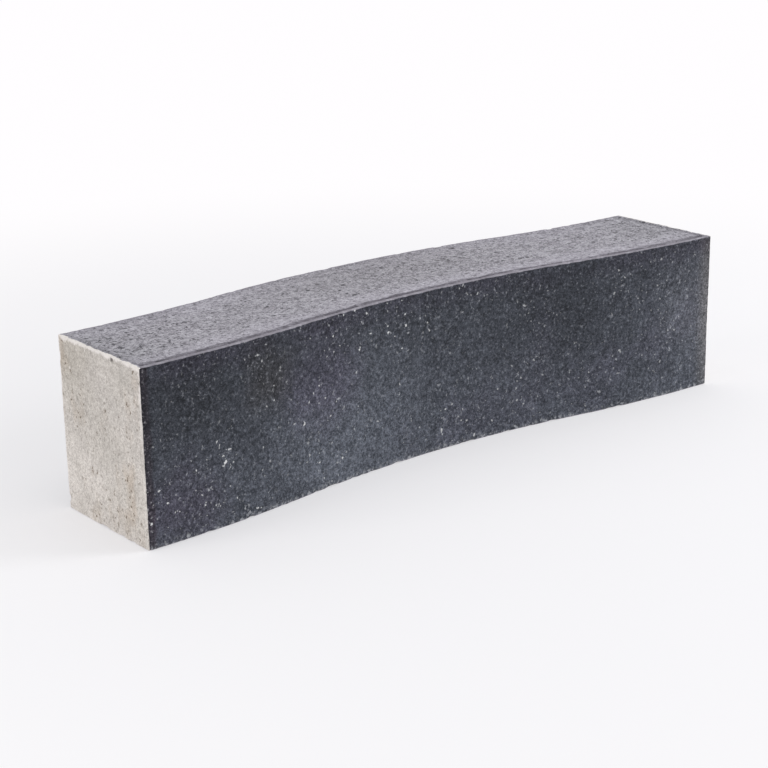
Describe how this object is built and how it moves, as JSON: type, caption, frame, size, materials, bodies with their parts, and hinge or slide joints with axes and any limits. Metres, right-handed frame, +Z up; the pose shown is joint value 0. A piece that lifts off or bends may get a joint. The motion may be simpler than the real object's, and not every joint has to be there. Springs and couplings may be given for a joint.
{
  "type": "concrete wall block",
  "caption": "Solid dry-cast concrete stacking block, wavy in plan with parallel front and back faces, flat ends and beds, laid in half-bond courses for garden walls.",
  "frame": {"origin": "under the middle of the block, on the bottom bed", "axes": "+X along the wall, -Y out of the front face whose hollow is at mid-length, +Z up"},
  "size_m": [0.6, 0.1399, 0.14],
  "materials": {
    "concrete": "matte, fine open grain"
  },
  "bodies": {
    "root": {"wall_block": "concrete"}
  },
  "joints": []
}
